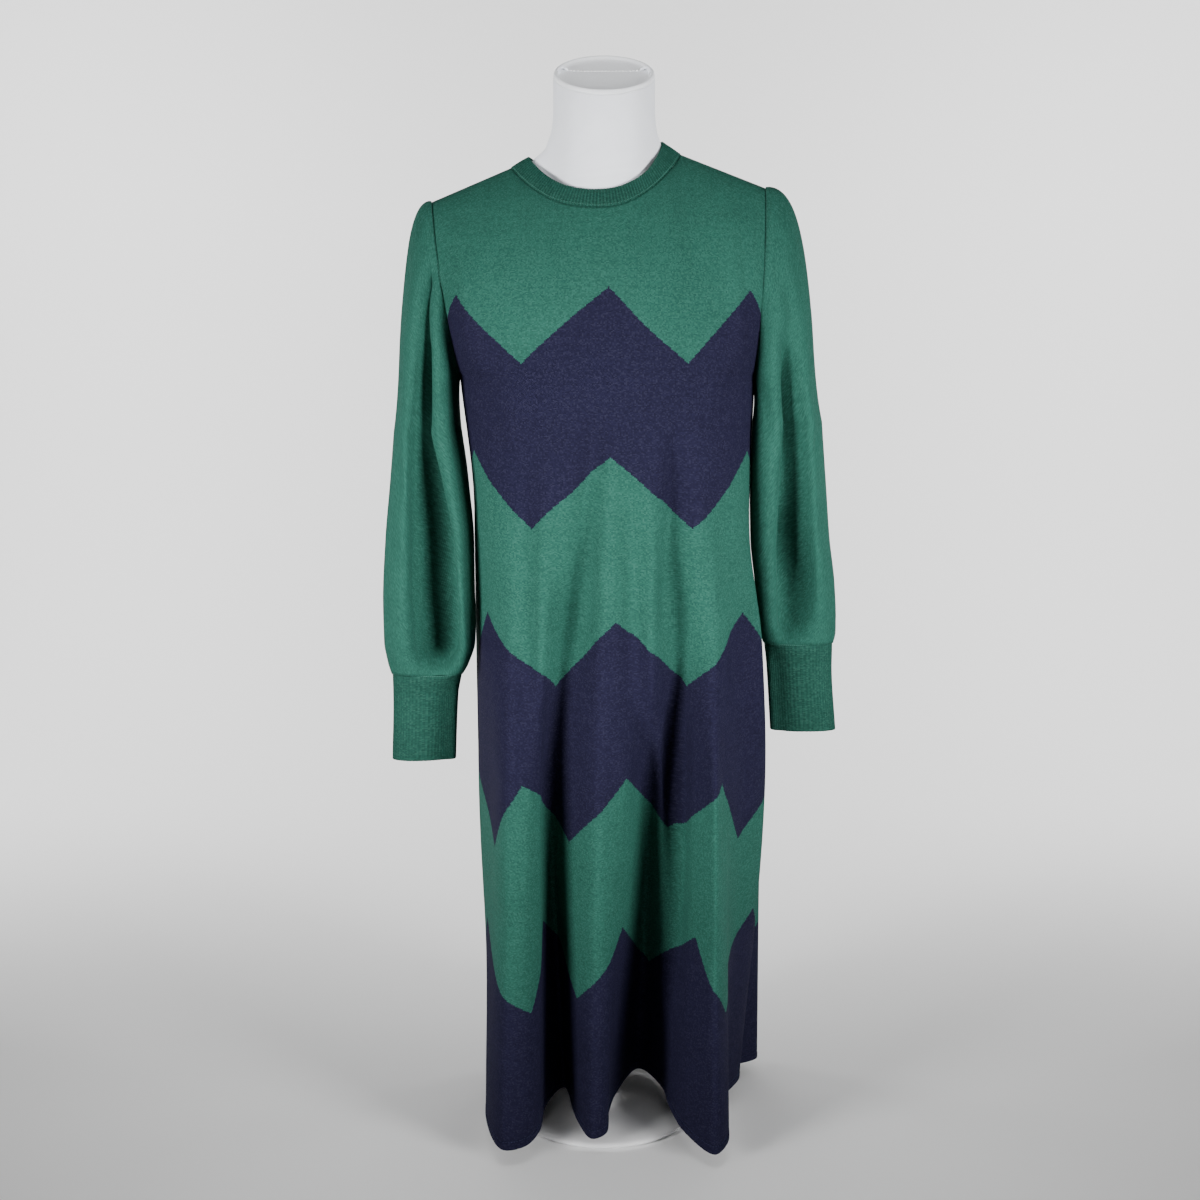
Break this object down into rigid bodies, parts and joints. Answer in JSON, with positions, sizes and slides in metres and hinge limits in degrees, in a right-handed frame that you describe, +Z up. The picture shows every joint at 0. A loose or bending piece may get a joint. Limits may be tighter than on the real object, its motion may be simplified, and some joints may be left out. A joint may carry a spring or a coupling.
{
  "type": "knit midi dress on a dress form",
  "caption": "Long-sleeved knit midi dress with ribbed cuffs and crew neckband and deep skirt folds, worn by a limbless dress form on a round base.",
  "frame": {"origin": "centre of the underside of the round base, on the floor", "axes": "+Z up, the front of the dress faces -Y, +X to the viewer's right when facing its front"},
  "size_m": [0.5487, 0.3262, 1.292],
  "materials": {
    "green_knit": "matte fine-gauge knit",
    "rib_knit": "matte ribbed knit",
    "white_jersey": "matte stretch jersey",
    "white_enamel": "satin enamel"
  },
  "bodies": {
    "root": {"front": "green_knit", "back": "green_knit", "sleeve_left": "green_knit", "sleeve_right": "green_knit", "cuff_left": "rib_knit", "cuff_right": "rib_knit", "neckband": "rib_knit", "form_torso": "white_jersey", "form_neck_cap": "white_jersey", "form_collar": "white_enamel", "form_pole": "white_enamel", "form_base": "white_enamel"}
  },
  "joints": []
}
